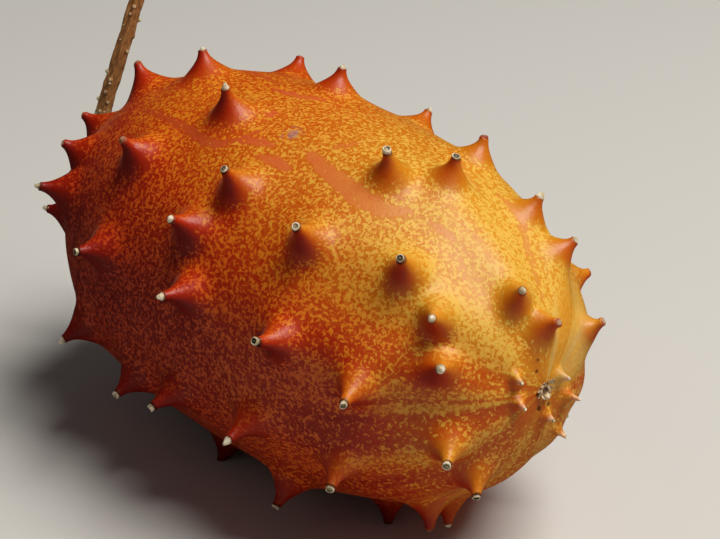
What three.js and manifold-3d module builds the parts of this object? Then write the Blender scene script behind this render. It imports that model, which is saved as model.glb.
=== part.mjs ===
// A horned melon at its real size, in millimetres, lying on the blunt tips of its lowest horns.
// +X runs along the fruit towards the blossom end, +Z is up, and the surface it lies on is z = 0.
import * as THREE from 'three';
import { mergeVertices } from 'three/addons/utils/BufferGeometryUtils.js';
import Module from 'manifold-3d';

// Body: two rounded halves of unlike length that meet at the widest section
const girthRadius = 34;
const stemHalf = 55.5;
const blossomHalf = 62.9;
const stemFullness = 2.92;
const blossomFullness = 2.51;
const bodySides = 40;
const bodyRings = 24;

// The widest section's centre, placed so that the whole stands centred over the origin
const centreX = 2.7;
const centreY = -0.16;
const axisHeight = 36.2;

// Shallow ribs that gather at the blossom end
const ribCount = 10;
const ribDepth = 0.035;
const ribStart = 0.35;

// Horns: a concave flare out of the skin, up to a blunt tip that leans a little to one side
const hornSides = 7;
const hornSteps = [0, 0.2, 0.5, 1];
const hornSink = 0.8;
const hornFlare = 2.3;
const hornTipRadius = 0.8;
const hornRootAtStem = 5.6;
const hornRootAtBlossom = 4.0;
const hornHook = 0.5;
const farHeightAtStem = 7.4;
const farHeightAtBlossom = 5.2;

// Low swelling of the skin round each horn
const swellHeight = 1.1;
const swellReach = 6;

// Small horns round the blossom scar
const smallHornRoot = 1.9;
const smallHornTipRadius = 0.35;

// Rows of horns as [station along the body from its widest section, turn from the top towards -Y, height]
const hornRows = [
  [[-40.5, 11.5, 6.5], [-27, 2.5, 5.6], [-7, 18.5, 6.8], [29.5, 10.5, 6.6], [56.2, 7, 6]],
  [[-25.5, -34.5, 5.6], [-3.5, -17.5, 5.6], [35.5, -4, 5.8], [59.5, -3.5, 5]],
  [[2, -48, 5.2], [28, -29, 5.2], [43, -30.5, 4.6], [50, -37.5, 4.6], [57.5, -63.5, 4.7], [41, -77.5, 4.9]],
  [[-47, 34.5, 5.6], [-18, 44, 6.4], [9, 39.5, 7], [28, 43.5, 7.2], [44.5, 35.5, 6.6], [51.5, 43, 5.8]],
  [[-40.5, 51.5, 5.6], [4.5, 56, 7.2], [54.5, 63, 5.4]],
  [[-38, 67, 7.2], [-17, 75.5, 6.6], [9, 73.5, 7.4], [30.5, 74, 7.2], [44.5, 80.5, 7]],
  [[-49, 87, 5.8], [-27.5, 110.5, 6.8], [4.5, 108, 7.2], [24.5, 104.5, 7.6], [40.5, 114.5, 6.4], [56.5, 108, 5.6]],
  [[-47, 143, 7], [-10, 115, 6.8], [22, 140, 6.8], [44, 161, 6], [42, 176, 5.6], [57, 140, 5.2]],
];

// The lowest horns, whose tips bear the fruit on either side of its weight
const restingRows = [
  [[-29, 162, 7.4], [-5, 156, 6.9], [30.5, 170, 6.6]],
  [[-24, 200, 6.8], [0, 205, 6.8], [24, 197, 6.4]],
];

// Rows on the far side, each at one turn with an even step between its horns
const farRows = [
  { turn: 188, first: -47, step: 20, count: 1 },
  { turn: 230, first: -42, step: 21, count: 5 },
  { turn: 255, first: -50, step: 20, count: 5 },
  { turn: 275, first: -39, step: 20.5, count: 4 },
  { turn: 297, first: -29, step: 18, count: 2 },
  { turn: 322, first: -46, step: 20, count: 1 },
];
const farStationDrift = 2.2;
const farTurnDrift = 4;
const firstDraw = 40719;

// Small horns in a ring round the scar, placed in the same way
const scarRing = [
  [61.5, 46, 2.6], [62.2, 77, 2.6], [62.7, 189, 2], [61.1, 212, 2.6], [62.1, 257, 2.8], [62.4, 315, 2.4],
];

// Stem: a brown stalk that leaves the fruit along its axis and curves upwards
const stemGap = 0.3;
const stemPath = [
  [0, 0, 0], [-5.5, 0, 0.4], [-10.4, 0.1, 2.3], [-12.9, 0.6, 6],
  [-12.6, 2.4, 12.5], [-11.6, 6, 22.9], [-11.4, 11, 35.2], [-11.4, 13.2, 40.5],
];
const stemRootRadius = 2.9;
const stemRadius = 1.6;
const stemEndRadius = 1.35;
const stemFlareLength = 0.07;
const stemAngles = 5;
const stemAngleDepth = 0.1;
const stemSides = 15;
const stemSteps = 20;

// Dried remains of the flower on the blossom end, a little above the body's own axis
const scarStation = 62.8;
const scarTurn = 7;
const scarGap = 0.3;
const scarRadius = 1.4;
const scarProfile = [[0, 0], [1, 0], [0.94, 0.35], [0.55, 0.4], [0.3, 0.75], [0, 0.85]];
const scarSides = 14;
const scarRagged = [{ lobes: 3, depth: 0.12, turn: 0 }, { lobes: 5, depth: 0.08, turn: 1 }];

const fruitFinish = { color: 0xd8741c, roughness: 0.45 };
const stemFinish = { color: 0x8a6a48, roughness: 0.85 };
const scarFinish = { color: 0xb39a74, roughness: 0.9 };

const wasm = await Module();
wasm.setup();

const { lerp, clamp, degToRad } = THREE.MathUtils;
const mergeDistance = 1e-5;

// Each draw follows from the last by a multiplier and a prime modulus
const drawMultiplier = 16807;
const drawModulus = 2147483647;
let drawState = firstDraw;

// One draw from the fixed sequence, between -1 and 1
function draw() {
  drawState = (drawState * drawMultiplier) % drawModulus;
  return (2 * drawState) / drawModulus - 1;
}

// Length of the half that a share or a station along the body lies in
function halfLength(place) {
  return place < 0 ? stemHalf : blossomHalf;
}

// A point of the skin without swellings: share is -1 at the stem and 1 at the blossom end
function bodyPoint(share, turn) {
  const fullness = share < 0 ? stemFullness : blossomFullness;
  const gather = Math.max(0, (share - ribStart) / (1 - ribStart));
  const rib = 1 + ribDepth * gather * Math.cos(ribCount * turn);
  const radius = girthRadius * Math.sqrt(Math.max(0, 1 - Math.abs(share) ** fullness)) * rib;
  return new THREE.Vector3(halfLength(share) * share, -radius * Math.sin(turn), radius * Math.cos(turn));
}

function bodyNormal(share, turn) {
  const step = 0.0005;
  const along = bodyPoint(share + step, turn).sub(bodyPoint(share - step, turn));
  const around = bodyPoint(share, turn + step).sub(bodyPoint(share, turn - step));
  return around.cross(along).normalize();
}

// How far from the stem end to the blossom end a station lies, from 0 to 1
function alongShare(station) {
  return (station + stemHalf) / (stemHalf + blossomHalf);
}

function makeHorn(station, turnDegrees, height, small) {
  const share = station / halfLength(station);
  const turn = degToRad(turnDegrees);
  return {
    base: bodyPoint(share, turn),
    normal: bodyNormal(share, turn),
    height,
    root: small ? smallHornRoot : lerp(hornRootAtStem, hornRootAtBlossom, alongShare(station)),
    tipRadius: small ? smallHornTipRadius : hornTipRadius,
    swell: small ? 0 : swellHeight,
    hook: small ? 0 : hornHook,
    hookTurn: Math.PI * draw(),
  };
}

function placeHorns() {
  const placed = [...hornRows.flat(), ...restingRows.flat()];
  const horns = placed.map(([station, turn, height]) => makeHorn(station, turn, height, false));
  for (const row of farRows) {
    for (let i = 0; i < row.count; i += 1) {
      const station = row.first + i * row.step + farStationDrift * draw();
      const turn = row.turn + farTurnDrift * draw();
      const height = lerp(farHeightAtStem, farHeightAtBlossom, alongShare(station));
      horns.push(makeHorn(station, turn, height, false));
    }
  }
  for (const [station, turn, height] of scarRing) {
    horns.push(makeHorn(station, turn, height, true));
  }
  return horns;
}

// How far the skin is raised at a point by the swellings round the horns
function swelling(point, horns) {
  let highest = 0;
  for (const horn of horns) {
    const away = point.distanceTo(horn.base) / swellReach;
    highest = Math.max(highest, horn.swell * Math.exp(-away * away));
  }
  return highest;
}

// Positions only, with shared corners merged and flat slivers at the poles left out
function closedMesh(geometry) {
  const bare = geometry.clone();
  bare.deleteAttribute('normal');
  bare.deleteAttribute('uv');
  const merged = mergeVertices(bare, mergeDistance);
  const index = merged.index.array;
  const kept = [];
  for (let i = 0; i < index.length; i += 3) {
    const [a, b, c] = [index[i], index[i + 1], index[i + 2]];
    if (a !== b && b !== c && c !== a) {
      kept.push(a, b, c);
    }
  }
  merged.setIndex(kept);
  return merged;
}

function toSolid(geometry) {
  const closed = closedMesh(geometry);
  const vertProperties = new Float32Array(closed.attributes.position.array);
  const triVerts = new Uint32Array(closed.index.array);
  return new wasm.Manifold(new wasm.Mesh({ numProp: 3, vertProperties, triVerts }));
}

function toGeometry(solid) {
  const mesh = solid.getMesh();
  const geometry = new THREE.BufferGeometry();
  geometry.setAttribute('position', new THREE.BufferAttribute(new Float32Array(mesh.vertProperties), 3));
  geometry.setIndex(new THREE.BufferAttribute(new Uint32Array(mesh.triVerts), 1));
  geometry.computeVertexNormals();
  return geometry;
}

// Moves every corner of a geometry to where move puts it
function reshape(geometry, move) {
  const position = geometry.attributes.position;
  const corner = new THREE.Vector3();
  for (let i = 0; i < position.count; i += 1) {
    corner.fromBufferAttribute(position, i);
    const moved = move(corner);
    position.setXYZ(i, moved.x, moved.y, moved.z);
  }
  return geometry;
}

function bodyGeometry(horns) {
  const ball = new THREE.SphereGeometry(1, bodySides, bodyRings);
  ball.rotateZ(-Math.PI / 2);
  return reshape(closedMesh(ball), (corner) => {
    const share = clamp(corner.x, -1, 1);
    const turn = Math.atan2(-corner.y, corner.z);
    const point = bodyPoint(share, turn);
    const outwards = point.clone().normalize();
    return point.addScaledVector(outwards, swelling(point, horns));
  });
}

// The turn that stands a lathed shape up along a direction
function uprightTo(direction) {
  return new THREE.Quaternion().setFromUnitVectors(new THREE.Vector3(0, 1, 0), direction);
}

function hornGeometry(horn) {
  const profile = [new THREE.Vector2(0, -hornSink), new THREE.Vector2(horn.root, -hornSink)];
  for (const step of hornSteps) {
    const radius = horn.tipRadius + (horn.root - horn.tipRadius) * (1 - step) ** hornFlare;
    profile.push(new THREE.Vector2(radius, step * horn.height));
  }
  profile.push(new THREE.Vector2(0, horn.height));
  const spike = new THREE.LatheGeometry(profile, hornSides);
  reshape(spike, (corner) => {
    const lean = horn.hook * Math.max(0, corner.y / horn.height) ** 2;
    corner.x += lean * Math.cos(horn.hookTurn);
    corner.z += lean * Math.sin(horn.hookTurn);
    return corner;
  });
  spike.applyQuaternion(uprightTo(horn.normal));
  spike.translate(horn.base.x, horn.base.y, horn.base.z);
  return spike;
}

// The body and its horns in one, worn flat where the lowest tips bear on the surface
function fruitGeometry() {
  const horns = placeHorns();
  let fruit = toSolid(bodyGeometry(horns));
  for (const horn of horns) {
    fruit = fruit.add(toSolid(hornGeometry(horn)));
  }
  const underLength = 3 * blossomHalf;
  const under = new THREE.BoxGeometry(underLength, underLength, girthRadius);
  under.translate(0, 0, -axisHeight - girthRadius / 2);
  return toGeometry(fruit.subtract(toSolid(under)));
}

function stemRadiusAt(share) {
  const flare = Math.max(0, 1 - share / stemFlareLength) ** 2;
  const taper = lerp(stemRadius, stemEndRadius, share);
  return taper + (stemRootRadius - stemRadius) * flare;
}

function stemGeometry() {
  const points = stemPath.map(([x, y, z]) => new THREE.Vector3(x - stemHalf - stemGap, y, z));
  const path = new THREE.CatmullRomCurve3(points, false, 'centripetal');
  const frames = path.computeFrenetFrames(stemSteps, false);
  const rod = new THREE.CylinderGeometry(1, 1, 1, stemSides, stemSteps);
  return reshape(closedMesh(rod), (corner) => {
    const share = clamp(corner.y + 0.5, 0, 1);
    const ring = Math.round(share * stemSteps);
    const around = Math.atan2(corner.z, corner.x);
    const fromAxis = Math.hypot(corner.x, corner.z);
    const angled = 1 + stemAngleDepth * Math.cos(stemAngles * around);
    const radius = fromAxis * stemRadiusAt(share) * angled;
    const place = path.getPointAt(share);
    place.addScaledVector(frames.normals[ring], radius * Math.cos(around));
    return place.addScaledVector(frames.binormals[ring], -radius * Math.sin(around));
  });
}

function scarGeometry() {
  const profile = scarProfile.map(([across, up]) => new THREE.Vector2(across * scarRadius, up));
  const crust = closedMesh(new THREE.LatheGeometry(profile, scarSides));
  reshape(crust, (corner) => {
    const around = Math.atan2(corner.z, corner.x);
    let ragged = 1;
    for (const wave of scarRagged) {
      ragged += wave.depth * Math.cos(wave.lobes * around + wave.turn);
    }
    return corner.set(corner.x * ragged, corner.y, corner.z * ragged);
  });
  const share = scarStation / blossomHalf;
  const normal = bodyNormal(share, degToRad(scarTurn));
  const place = bodyPoint(share, degToRad(scarTurn)).addScaledVector(normal, scarGap);
  crust.applyQuaternion(uprightTo(normal));
  crust.translate(place.x, place.y, place.z);
  return crust;
}

function piece(name, geometry, finish) {
  const material = new THREE.MeshStandardMaterial({ ...finish, metalness: 0 });
  const mesh = new THREE.Mesh(geometry, material);
  mesh.name = name;
  return mesh;
}

const hornedMelon = new THREE.Group();
hornedMelon.position.set(centreX, centreY, axisHeight);
hornedMelon.add(piece('fruit', fruitGeometry(), fruitFinish));
hornedMelon.add(piece('stem', stemGeometry(), stemFinish));
hornedMelon.add(piece('blossom_scar', scarGeometry(), scarFinish));

export default hornedMelon;
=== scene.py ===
from math import cos, pi, radians, sin

import bpy
import numpy as np
from mathutils import Matrix, Vector, geometry, kdtree, noise


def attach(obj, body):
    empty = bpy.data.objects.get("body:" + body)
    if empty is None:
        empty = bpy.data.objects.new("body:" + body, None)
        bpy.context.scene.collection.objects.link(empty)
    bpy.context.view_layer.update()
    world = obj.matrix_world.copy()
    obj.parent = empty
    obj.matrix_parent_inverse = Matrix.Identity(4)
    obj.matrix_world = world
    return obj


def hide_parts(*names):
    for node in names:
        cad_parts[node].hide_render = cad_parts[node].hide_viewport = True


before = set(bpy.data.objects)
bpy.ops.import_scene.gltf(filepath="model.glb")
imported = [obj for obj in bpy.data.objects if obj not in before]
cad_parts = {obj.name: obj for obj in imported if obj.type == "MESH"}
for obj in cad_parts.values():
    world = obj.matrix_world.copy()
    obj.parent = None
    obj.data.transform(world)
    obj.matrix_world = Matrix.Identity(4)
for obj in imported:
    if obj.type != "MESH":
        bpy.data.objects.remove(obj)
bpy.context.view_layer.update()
mm = 0.001
wholeTurn = 2 * pi

# Body: two rounded halves of unlike length that meet at the widest section, in millimetres
body = {
    "girth": 34.0,
    "stemHalf": 55.5,
    "blossomHalf": 62.9,
    "stemFullness": 2.92,
    "blossomFullness": 2.51,
    "centre": (2.7, -0.16, 36.2),
    "ribCount": 10,
    "ribDepth": 0.035,
    "ribStart": 0.35,
}

# Horns: [station from the widest section, turn from the top towards -Y in degrees, height, kind of cork tip];
# the kinds are 0 a hollow ring, 1 a pale cap, 2 worn down to the skin, and none where it is drawn
horns = {
    "rows": [
        [[-40.5, 11.5, 6.5, 2], [-27, 2.5, 5.6, 1], [-7, 18.5, 6.8, 1], [29.5, 10.5, 6.6, 0],
         [56.2, 7, 6, 1]],
        [[-25.5, -34.5, 5.6, 2], [-3.5, -17.5, 5.6, 1], [35.5, -4, 5.8, 0], [59.5, -3.5, 5, 2]],
        [[2, -48, 5.2, 1], [28, -29, 5.2, 2], [43, -30.5, 4.6, 1], [50, -37.5, 4.6, 1], [57.5, -63.5, 4.7, 2],
         [41, -77.5, 4.9, 2]],
        [[-47, 34.5, 5.6, 2], [-18, 44, 6.4, 2], [9, 39.5, 7, 0], [28, 43.5, 7.2, 0], [44.5, 35.5, 6.6, 0],
         [51.5, 43, 5.8, 1]],
        [[-40.5, 51.5, 5.6, 2], [4.5, 56, 7.2, 1], [54.5, 63, 5.4, 1]],
        [[-38, 67, 7.2, 1], [-17, 75.5, 6.6], [9, 73.5, 7.4, 1], [30.5, 74, 7.2, 0], [44.5, 80.5, 7, 0]],
        [[-49, 87, 5.8], [-27.5, 110.5, 6.8], [4.5, 108, 7.2], [24.5, 104.5, 7.6, 1], [40.5, 114.5, 6.4],
         [56.5, 108, 5.6, 0]],
        [[-47, 143, 7], [-10, 115, 6.8], [22, 140, 6.8], [44, 161, 6], [42, 176, 5.6], [57, 140, 5.2]],
        [[-29, 162, 7.4], [-5, 156, 6.9], [30.5, 170, 6.6]],
        [[-24, 200, 6.8], [0, 205, 6.8], [24, 197, 6.4]],
    ],
    # rows on the far side: turn, first station, step, count
    "farRows": [
        (188, -47, 20, 1), (230, -42, 21, 5), (255, -50, 20, 5),
        (275, -39, 20.5, 4), (297, -29, 18, 2), (322, -46, 20, 1),
    ],
    "farHeights": (7.4, 5.2),    # at the stem end and at the blossom end
    "farStationDrift": 2.2,
    "farTurnDrift": 4,
    "firstDraw": 40719,
    "drawFactor": 16807,
    "drawRange": 2147483647,
    # small ones round the scar: station, turn and height
    "scarRing": [
        [61.5, 46, 2.6], [62.2, 77, 2.6], [62.7, 189, 2],
        [61.1, 212, 2.6], [62.1, 257, 2.8], [62.4, 315, 2.4],
    ],
    "roots": (5.6, 4.0),    # root radius at the stem end and at the blossom end
    "tip": 0.8,
    "hook": 0.5,
    "swell": 1.1,
    "small": {"root": 1.9, "tip": 0.32},
    "flare": 2.3,
    "footAt": 0.72,    # where the flare turns into a soft foot: 0 is the tip, 1 the root
    "swellReach": 6.0,
    "swellBlur": 4,
    "neck": 0.9,    # share of a horn's height where the skin ends and the cork begins
    # painted light and shade on the horns: flanks facing this way are painted lit and paler, the others
    # painted in shade and redder
    "sunward": (0.15, 0.5, 0.85),    # the way that their paler flanks face
}

# Net of points that the skin is spun over, in millimetres
net = {
    "spacing": 1.05,
    "ringSpacing": 0.9,    # of the rings round the body, against the spacing along them
    "jitter": 0.16,
    "hornSides": 26,
    "hornClimbs": [0.9, 0.84, 0.77, 0.69, 0.61, 0.53, 0.45, 0.38, 0.31, 0.25, 0.19, 0.14, 0.09, 0.05, 0.02],
    "innerRing": 0.55,    # against the highest ring on a horn
    "outerRings": (1.1, 1.3),    # against the horn's root
    "clearance": 0.5,    # left free round the rings, against the spacing
    "overlap": 0.02,    # of the rings of neighbouring horns
    "unevenness": 0.3,
    "unevenScale": 55.0,
    "seed": 5,
    "unevenSeed": 3.0,
    "outlinePoints": 6001,
    "mapPoints": 40001,
    "dropSteps": 12,    # that bring a ring's points down to the body
}
besideHorn = 12    # a point further up or down a horn's axis than this is on the other side of the body
farAway = 99.0


# A socket that can be added, multiplied and so on like a number or a vector
class Wire:
    def __init__(self, tree, socket):
        self.tree = tree
        self.socket = socket

    # any node: its type, its settings, then the values or links of its sockets
    def add(self, kind, settings=None, inputs=None, out=0):
        made = self.tree.nodes.new(kind)
        for name, value in (settings or {}).items():
            if name == "stops":
                setStops(made.color_ramp, value)
            else:
                setattr(made, name, value)
        setInputs(made, inputs or {})
        return Wire(self.tree, made.outputs[out])

    def other(self, name):
        return Wire(self.tree, self.socket.node.outputs[name])

    def maths(self, operation, *values, **settings):
        return self.add("ShaderNodeMath", {"operation": operation, **settings}, dict(enumerate(values)))

    def vectors(self, operation, *values):
        return self.add("ShaderNodeVectorMath", {"operation": operation}, dict(enumerate(values)))

    def pair(self, operation, first, second):
        vector = isVector(first) or isVector(second)
        if operation == "MULTIPLY" and isVector(first) != isVector(second):
            factors = {0: first, "Scale": second} if isVector(first) else {0: second, "Scale": first}
            return self.add("ShaderNodeVectorMath", {"operation": "SCALE"}, factors)
        return (self.vectors if vector else self.maths)(operation, first, second)

    def __add__(self, value):
        return self.pair("ADD", self, value)

    def __mul__(self, value):
        return self.pair("MULTIPLY", self, value)

    __radd__, __rmul__ = __add__, __mul__

    def __sub__(self, value):
        return self.pair("SUBTRACT", self, value)

    def __rsub__(self, value):
        return self.pair("SUBTRACT", value, self)

    def __truediv__(self, value):
        return self.pair("DIVIDE", self, value)

    def __rtruediv__(self, value):
        return self.pair("DIVIDE", value, self)

    def __pow__(self, value):
        return self.maths("POWER", self, value)

    def __neg__(self):
        return self * -1.0

    def clamp(self):
        return self.maths("ADD", self, 0.0, use_clamp=True)

    def atLeast(self, value):
        return self.maths("MAXIMUM", self, value)

    def atMost(self, value):
        return self.maths("MINIMUM", self, value)

    # 0 below low, 1 above high, smooth between
    def smooth(self, low, high):
        return self.add("ShaderNodeMapRange", {"interpolation_type": "SMOOTHSTEP"},
                        {"Value": self, "From Min": low, "From Max": high})

    def parts(self):
        split = self.add("ShaderNodeSeparateXYZ", None, {0: self})
        return split, split.other("Y"), split.other("Z")

    def vector(self, x, y, z):
        return self.add("ShaderNodeCombineXYZ", None, {0: x, 1: y, 2: z})

    def place(self):
        return self.add("GeometryNodeInputPosition")

    # a place, no lower than the floor
    def onFloor(self):
        x, y, z = self.parts()
        return self.vector(x, y, z.atLeast(0))

    def grains(self, scale, detail=1.0, out=0, **inputs):
        inputs = {"Vector": self, "Scale": scale, "Detail": detail, **inputs}
        return self.add("ShaderNodeTexNoise", None, inputs, out)

    # small random moves for the points of a surface
    def roughness(self, scale, size):
        return (self.grains(scale, 3.0, 1) - (0.5, 0.5, 0.5)) * (size * 2)

    # a colour for every place between 0 and 1, from the places and codes of its stops
    def ramp(self, places, codes):
        stops = [(place, colour(code)) for place, code in zip(places, codes.split())]
        return self.add("ShaderNodeValToRGB", {"stops": stops}, {0: self})

    # a number for every place between 0 and 1
    def curve(self, stops):
        stops = [(place, (value, value, value, 1.0)) for place, value in stops]
        return self.add("ShaderNodeValToRGB", {"stops": stops}, {0: self}).parts()[0]

    def attribute(self, name, out="Fac"):
        return self.add("ShaderNodeAttribute", {"attribute_name": name}, out=out)

    def mix(self, first, second):
        return self.add("ShaderNodeMix", {"data_type": "RGBA"}, {0: self, 6: first, 7: second}, out=2)

    def dents(self, strength, depth):
        return self.add("ShaderNodeBump", None, {"Strength": strength, "Distance": depth, "Height": self})

    def named(self, name, kind="FLOAT"):
        return self.add("GeometryNodeInputNamedAttribute", {"data_type": kind}, {"Name": name})

    def randomValue(self, span, seed):
        inputs = {2: span[0], 3: span[1], "Seed": seed}
        return self.add("FunctionNodeRandomValue", {"data_type": "FLOAT"}, inputs, out=1)

    # the turn that lays Z along a vector
    def alongVector(self, vector):
        return self.add("FunctionNodeAlignRotationToVector", {"axis": "Z"}, {"Vector": vector})

    # the shape of another object
    def shapeOf(self, piece):
        info = self.add("GeometryNodeObjectInfo", {"transform_space": "RELATIVE"}, {"Object": piece})
        return info.other("Geometry")

    def placed(self, **inputs):
        return self.add("GeometryNodeSetPosition", None, {"Geometry": self, **inputs})

    def store(self, name, value, domain="POINT"):
        return self.add("GeometryNodeStoreNamedAttribute", {"data_type": "FLOAT", "domain": domain},
                        {"Geometry": self, "Name": name, "Value": value})

    def onPoints(self, points, rotation, scale, **inputs):
        inputs = {"Points": points, "Instance": self, "Rotation": rotation, "Scale": scale, **inputs}
        return self.add("GeometryNodeInstanceOnPoints", None, inputs)

    def joined(self, *others):
        both = self.tree.nodes.new("GeometryNodeJoinGeometry")
        for part in (self, *others):
            self.tree.links.new(part.socket, both.inputs[0])
        return Wire(self.tree, both.outputs[0])

    def real(self):
        return self.add("GeometryNodeRealizeInstances", None, {0: self})


def isVector(value):
    return isinstance(value, tuple) or isinstance(value, Wire) and value.socket.type in ("VECTOR", "RGBA")


# Gives a node's sockets their values or links
def setInputs(node, inputs):
    for key, value in inputs.items():
        if isinstance(value, Wire):
            value.tree.links.new(value.socket, node.inputs[key])
        else:
            node.inputs[key].default_value = value


def setStops(ramp, stops):
    while len(ramp.elements) < len(stops):
        ramp.elements.new(1.0)
    for element, (place, shade) in zip(ramp.elements, stops):
        element.position = place
        element.color = shade


# sRGB hex to a linear colour
def colour(code):
    shares = [int(code[i:i + 2], 16) / 255 for i in (0, 2, 4)]
    linear = [s / 12.92 if s <= 0.04045 else ((s + 0.055) / 1.055) ** 2.4 for s in shares]
    return (*linear, 1.0)


socketKinds = {
    float: "NodeSocketFloat", int: "NodeSocketInt", tuple: "NodeSocketVector",
    bpy.types.Object: "NodeSocketObject", bpy.types.Material: "NodeSocketMaterial",
}


# Grows a piece by a tree that build makes from a named input for each value, and keeps it as a plain mesh
def grow(piece, name, build, **values):
    tree = bpy.data.node_groups.new(name, "GeometryNodeTree")
    for side in ("INPUT", "OUTPUT"):
        tree.interface.new_socket("Geometry", in_out=side, socket_type="NodeSocketGeometry")
    for label, value in values.items():
        tree.interface.new_socket(label, in_out="INPUT", socket_type=socketKinds[type(value)])
    start, end = tree.nodes.new("NodeGroupInput"), tree.nodes.new("NodeGroupOutput")
    given = {label: Wire(tree, start.outputs[label]) for label in values}
    finish = given.pop("finish")
    real = build(Wire(tree, start.outputs[0]), **given).real()
    done = real.add("GeometryNodeSetMaterial", None, {"Geometry": real, "Material": finish})
    tree.links.new(done.socket, end.inputs[0])
    modifier = piece.modifiers.new(name, "NODES")
    modifier.node_group = tree
    for item in tree.interface.items_tree:
        if item.name in values:
            modifier[item.identifier] = values[item.name]
    graph = bpy.context.evaluated_depsgraph_get()
    made = bpy.data.meshes.new_from_object(piece.evaluated_get(graph), depsgraph=graph)
    piece.modifiers.clear()
    piece.data = made
    made.name = piece.name
    for polygon in made.polygons:
        polygon.use_smooth = True
    return piece


# Part of a dictionary
def some(settings, *names):
    return {name: settings[name] for name in names}


def newObject(name, corners, faces):
    mesh = bpy.data.meshes.new(name)
    mesh.from_pydata(corners, [], faces)
    made = bpy.data.objects.new(name, mesh)
    bpy.context.scene.collection.objects.link(made)
    return made


def setAttribute(piece, name, values):
    values = np.asarray(values)
    kind = "FLOAT_VECTOR" if values.ndim > 1 else "INT" if values.dtype == np.int32 else "FLOAT"
    attribute = piece.data.attributes.new(name, kind, "POINT")
    attribute.data.foreach_set("vector" if values.ndim > 1 else "value", values.ravel())


# The body's measure on the side of the widest section that a place is on
def bySide(place, measure):
    return np.where(np.asarray(place) < 0, body["stem" + measure], body["blossom" + measure])


# Points of the skin with no swellings, in millimetres from the widest section's centre
def bodyPoint(share, turn, ribbed=True):
    share = np.asarray(share, float)
    gather = np.clip((share - body["ribStart"]) / (1 - body["ribStart"]), 0, None)
    rib = 1 + ribbed * body["ribDepth"] * gather * np.cos(body["ribCount"] * turn)
    rounding = np.clip(1 - np.abs(share) ** bySide(share, "Fullness"), 0, None)
    radius = body["girth"] * np.sqrt(rounding) * rib
    return np.stack([bySide(share, "Half") * share, -radius * np.sin(turn), radius * np.cos(turn)], axis=-1)


def bodyNormal(share, turn, ribbed=True):
    step = 0.0005
    along = bodyPoint(share + step, turn, ribbed) - bodyPoint(share - step, turn, ribbed)
    around = bodyPoint(share, turn + step, ribbed) - bodyPoint(share, turn - step, ribbed)
    normal = np.cross(around, along)
    return normal / np.linalg.norm(normal, axis=-1, keepdims=True)


def blend(ends, share):
    return ends[0] + (ends[1] - ends[0]) * share


def alongShare(station):
    return (station + body["stemHalf"]) / (body["stemHalf"] + body["blossomHalf"])


# From millimetres about the body's centre to metres in the scene
def inScene(points):
    return (np.asarray(points) + np.array(body["centre"])) * mm


# Every horn, in the order of the part's own draws; its foot and flat are on the body without ribs
def placeHorns():
    state = [horns["firstDraw"]]
    rng = np.random.default_rng(cork["seed"])

    def draw():
        state[0] = (state[0] * horns["drawFactor"]) % horns["drawRange"]
        return 2 * state[0] / horns["drawRange"] - 1

    def make(station, turn, height, kind=None, small=None):
        share = station / bySide(station, "Half")
        turn = radians(turn)
        hookTurn = pi * draw()
        normal = bodyNormal(share, turn)
        upright = Vector((0, 1, 0)).rotation_difference(Vector(normal))
        lean = upright @ Vector((cos(hookTurn), 0, sin(hookTurn)))
        return {
            "turn": turn, "base": bodyPoint(share, turn), "axis": normal, "height": height,
            "foot": bodyPoint(share, turn, ribbed=False), "flat": bodyNormal(share, turn, ribbed=False),
            "root": small["root"] if small else blend(horns["roots"], alongShare(station)),
            "tip": small["tip"] if small else horns["tip"],
            "swell": 0 if small else horns["swell"],
            "lean": np.array(lean) * (0 if small else horns["hook"]),
            "full": 0 if small else 1,
            "kind": rng.choice(3, p=cork["kindShares"]) if kind is None else kind,
        }

    made = [make(*place) for row in horns["rows"] for place in row]
    for turn, first, step, count in horns["farRows"]:
        for i in range(count):
            station = first + i * step + horns["farStationDrift"] * draw()
            drifted = turn + horns["farTurnDrift"] * draw()
            made.append(make(station, drifted, blend(horns["farHeights"], alongShare(station))))
    return made + [make(*place, 1, horns["small"]) for place in horns["scarRing"]]


# Points where the horns stand, with what the trees need to know about each
def hornPoints(placed):
    points = newObject("horn_points", inScene([h["base"] for h in placed]).tolist(), [])
    for name in ("height", "root", "tip", "swell", "lean", "full", "kind", "axis"):
        values = np.array([h[name] for h in placed], float)
        setAttribute(points, name, values if name in ("full", "kind", "axis") else values * mm)
    return points


def runningSum(steps):
    return np.concatenate([[0], np.cumsum(steps)])


# The body's outline from the stem pole to the blossom pole: angles, points and the steps between them
def outline(count, margin=0.0):
    angle = np.linspace(-pi / 2 + margin, pi / 2 - margin, count)
    line = bodyPoint(np.sin(angle), 0.0, ribbed=False)
    return angle, line, np.hypot(np.diff(line[:, 0]), np.diff(line[:, 2]))


# Round sections a spacing apart, each an even ring of points, as share and turn
def evenPoints(rng):
    angle, line, steps = outline(net["outlinePoints"])
    length = runningSum(steps)
    rings = round(length[-1] / net["spacing"] / net["ringSpacing"])
    fewest = 6
    shares, turns = [], []
    for ring in range(rings):
        place = np.interp((ring + 0.5) / rings * length[-1], length, angle)
        radius = float(np.interp((ring + 0.5) / rings * length[-1], length, line[:, 2]))
        count = max(fewest, round(wholeTurn * radius / net["spacing"]))
        drift = 0 if ring in (0, rings - 1) else net["jitter"] * net["spacing"]
        around = (np.arange(count) + 0.5 * (ring % 2)) * wholeTurn / count
        around = around + rng.uniform(-1, 1, count) * drift / radius
        slid = place + rng.uniform(-1, 1, count) * drift / body["blossomHalf"]
        shares.append(np.sin(slid))
        turns.append(around)
    return np.concatenate(shares), np.concatenate(turns)


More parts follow.
